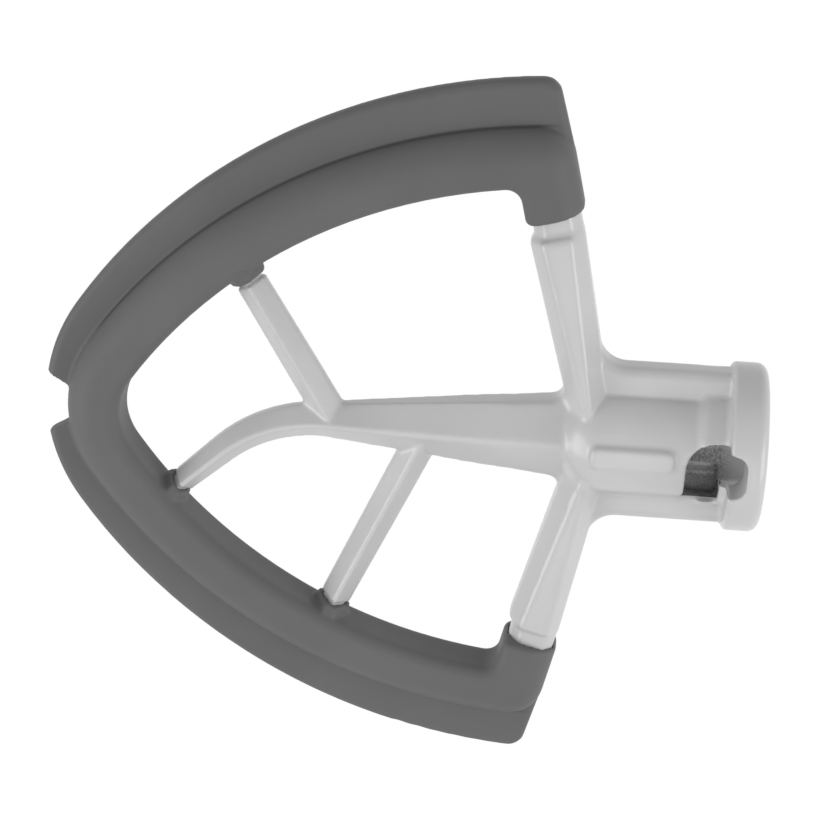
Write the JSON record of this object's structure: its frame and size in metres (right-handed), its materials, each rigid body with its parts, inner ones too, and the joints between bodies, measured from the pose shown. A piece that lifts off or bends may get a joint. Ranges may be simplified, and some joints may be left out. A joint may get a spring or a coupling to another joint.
{
  "type": "stand mixer flat beater",
  "caption": "Flat beater for a stand mixer: a coated cast frame with a bayonet shaft hub, curved stem and cross bars, and a soft wiping edge round its arch.",
  "frame": {"origin": "centre of the shaft bore at its mouth, in the top face of the collar", "axes": "+Z along the bore and out of its mouth, X from arm to arm, -Y towards the face with the bayonet window"},
  "size_m": [0.1412, 0.033, 0.1415],
  "materials": {
    "coated_casting": "glossy pale grey coating",
    "silicone": "matte dark grey"
  },
  "bodies": {
    "root": {"cast_frame": "coated_casting", "flex_edge": "silicone"}
  },
  "joints": []
}
